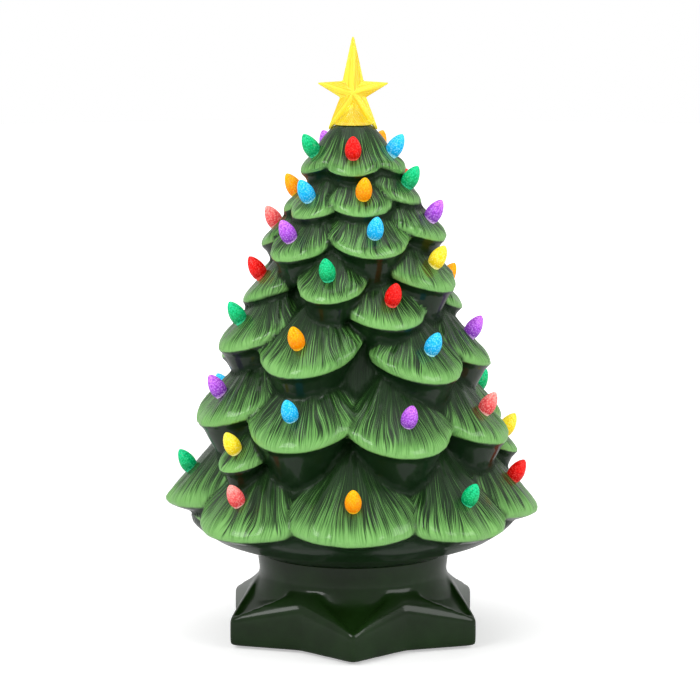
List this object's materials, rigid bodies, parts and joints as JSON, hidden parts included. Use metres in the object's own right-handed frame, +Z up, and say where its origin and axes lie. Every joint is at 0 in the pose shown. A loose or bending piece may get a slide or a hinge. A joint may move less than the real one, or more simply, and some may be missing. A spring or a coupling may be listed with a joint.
{
  "type": "ceramic christmas tree",
  "caption": "Lit ceramic table-top Christmas tree with scalloped boughs, push-in coloured bulbs, a lift-off star and a hollow star-shaped base that holds the lamp.",
  "frame": {"origin": "centre of the resting plane, under the tree's axis, at the bottom of the rubber feet", "axes": "+Z up the tree's axis, -Y towards the viewer at the front, where one base point faces"},
  "size_m": [0.3714, 0.3671, 0.601],
  "materials": {
    "tree_glaze": "brushed two-tone green under clear gloss glaze",
    "base_glaze": "deep green gloss glaze",
    "star_plastic": "clear yellow moulded plastic, ribbed",
    "housing_plastic": "fine texture",
    "switch_plastic": "moulded",
    "foot_rubber": "matte",
    "steel": "plated",
    "cell_jacket": "plain satin sleeve",
    "post_plastic": "moulded white",
    "board": "white solder mask",
    "led": "phosphor face",
    "diffuser": "frosted",
    "wire_sleeve": "smooth",
    "bulb_red": "clear tinted plastic with pebbled facets",
    "bulb_green": "clear tinted plastic with pebbled facets",
    "bulb_blue": "clear tinted plastic with pebbled facets",
    "bulb_yellow": "clear tinted plastic with pebbled facets",
    "bulb_amber": "clear tinted plastic with pebbled facets",
    "bulb_purple": "clear tinted plastic with pebbled facets",
    "bulb_pink": "clear tinted plastic with pebbled facets"
  },
  "bodies": {
    "base_unit": {"base": "base_glaze", "feet": "foot_rubber", "bottom_plate": "housing_plastic", "door_hinge_pin": "steel", "batteries": "cell_jacket", "battery_contacts": "steel", "switch_body": "housing_plastic", "lamp_post": "post_plastic", "led_board": "board", "leds": "led", "lamp_diffuser": "diffuser", "lead_wires": "wire_sleeve"},
    "tree": {"tree_shell": "tree_glaze", "bulbs_red": "bulb_red", "bulbs_green": "bulb_green", "bulbs_blue": "bulb_blue", "bulbs_yellow": "bulb_yellow", "bulbs_amber": "bulb_amber", "bulbs_purple": "bulb_purple", "bulbs_pink": "bulb_pink"},
    "star": {"star_topper": "star_plastic"},
    "battery_door": {"battery_door": "housing_plastic"},
    "switch_slider": {"switch_slider": "switch_plastic"}
  },
  "joints": [
    {"name": "tree_lift", "type": "slide", "parent": "base_unit", "child": "tree", "axis": [0, 0, 1], "range_m": [0, 0.2]},
    {"name": "star_lift", "type": "slide", "parent": "tree", "child": "star", "axis": [0, 0, 1], "range_m": [0, 0.03]},
    {"name": "battery_door_hinge", "type": "hinge", "parent": "base_unit", "child": "battery_door", "pos_m": [0, 0.02605, 0.004], "axis": [1, 0, 0], "range_deg": [0, 100]},
    {"name": "switch_slide", "type": "slide", "parent": "base_unit", "child": "switch_slider", "axis": [1, 0, 0], "range_m": [0, 0.005]}
  ]
}
